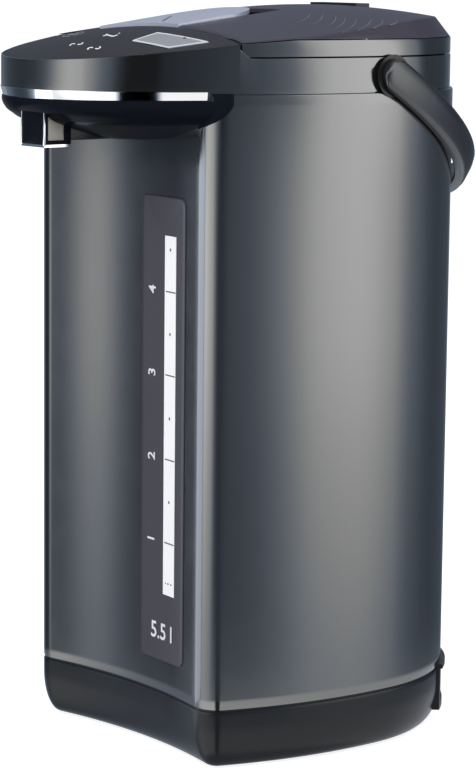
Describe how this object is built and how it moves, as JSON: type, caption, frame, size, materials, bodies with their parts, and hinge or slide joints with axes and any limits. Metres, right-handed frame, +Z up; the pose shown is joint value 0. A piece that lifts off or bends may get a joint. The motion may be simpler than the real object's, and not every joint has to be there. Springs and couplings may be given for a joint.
{
  "type": "electric thermo pot",
  "caption": "Tall insulated water boiler with a beaked head, front pump spout, level gauge, latched rear-hinged lid and swinging carry handle.",
  "frame": {"origin": "on the standing surface, under the centre of the body's round back, at the middle rubber foot", "axes": "+Z up, -Y the way the spout points, +X to the right seen from the front"},
  "size_m": [0.213, 0.2922, 0.4117],
  "materials": {
    "body_paint": "dark blue-grey metallic paint, satin",
    "base_black": "black, satin",
    "head_grey": "dark grey metallic, glossy",
    "hull_black": "black, glossy",
    "panel_dark": "dark grey with a purple cast, matt",
    "bright_trim": "bright plating",
    "silver": "silver metallic, satin",
    "gauge_dark": "dark grey, smooth, with white marks",
    "gauge_white": "translucent white",
    "clear_tube": "clear",
    "black_plastic": "black, fine satin",
    "milky_plastic": "off-white",
    "hose_rubber": "milky silicone",
    "foot_rubber": "black, matt",
    "stainless": "brushed",
    "steel_small": "plain",
    "felt": "pressed fibre",
    "board_green": "green solder mask",
    "dark_parts": "black, matt",
    "brass": "plain",
    "motor_metal": "plain"
  },
  "bodies": {
    "pot": {"base_shell": "base_black", "bottom_cover": "base_black", "feet": "foot_rubber", "cover_screws": "steel_small", "outer_shell": "body_paint", "inner_pot": "stainless", "pot_insulation": "felt", "heater_plate": "motor_metal", "thermostats": "milky_plastic", "pump_bracket": "dark_parts", "pump_motor": "motor_metal", "pump_housing": "milky_plastic", "pump_cover": "milky_plastic", "inlet_hose": "hose_rubber", "lower_hose": "hose_rubber", "sight_tube": "clear_tube", "gauge_holder": "milky_plastic", "gauge_plate": "gauge_dark", "gauge_window": "gauge_white", "upper_hose": "hose_rubber", "power_board": "board_green", "board_parts": "dark_parts", "transformer": "steel_small", "inlet_housing": "black_plastic", "inlet_pins": "brass", "head_shell": "head_grey", "bright_band": "bright_trim", "head_hull": "hull_black", "spout_cover": "hull_black", "spout_nozzle": "milky_plastic", "spout_trim": "bright_trim", "control_panel": "panel_dark", "button_bezel": "bright_trim", "control_board": "board_green", "button_switch": "dark_parts", "hinge_block": "black_plastic", "hinge_pin": "steel_small", "right_pivot": "black_plastic", "left_pivot": "black_plastic"},
    "lid": {"lid_rim": "head_grey", "lid_top": "panel_dark", "lid_liner": "black_plastic", "inner_cover": "stainless", "lid_screws": "steel_small", "lid_gasket": "hose_rubber", "steam_cap": "black_plastic", "steam_tube": "hose_rubber", "lever_pin": "steel_small", "lever_spring": "steel_small"},
    "lever": {"lid_lever": "silver"},
    "latch": {"latch_bolt": "black_plastic"},
    "button": {"dispense_button": "silver"},
    "handle": {"handle": "black_plastic"},
    "drive": {"motor_shaft": "steel_small", "drive_magnet": "dark_parts"},
    "pump_wheel": {"impeller": "milky_plastic"}
  },
  "joints": [
    {"name": "lid_hinge", "type": "hinge", "parent": "pot", "child": "lid", "pos_m": [0, 0.094, 0.3896], "axis": [-1, 0, 0], "range_deg": [0, 85]},
    {"name": "lever_hinge", "type": "hinge", "parent": "lid", "child": "lever", "pos_m": [-0.02, -0.0755, 0.39529], "axis": [1, 0, 0], "range_deg": [0, 20], "stiffness_Nm_per_rad": 0.1, "springref_deg": -20.05},
    {"name": "latch_slide", "type": "slide", "parent": "lid", "child": "latch", "axis": [0, 1, 0], "range_m": [0, 0.00218]},
    {"name": "button_slide", "type": "slide", "parent": "pot", "child": "button", "axis": [0, 0.1149, -0.9934], "range_m": [0, 0.0012], "stiffness_N_per_m": 500, "springref_m": -0.002},
    {"name": "handle_swing", "type": "hinge", "parent": "pot", "child": "handle", "pos_m": [0, -0.0015, 0.3747], "axis": [1, 0, 0], "range_deg": [0, 165]},
    {"name": "motor_spin", "type": "hinge", "parent": "pot", "child": "drive", "pos_m": [0.026, -0.054, 0.035], "axis": [0, 0, 1], "continuous": true},
    {"name": "impeller_spin", "type": "hinge", "parent": "pot", "child": "pump_wheel", "pos_m": [0.026, -0.054, 0.044], "axis": [0, 0, 1], "continuous": true}
  ],
  "couplings": [
    {"joint": "latch_slide", "follows": "lever_hinge", "m_per_rad": 0.0062},
    {"joint": "impeller_spin", "follows": "motor_spin", "ratio": 1}
  ]
}
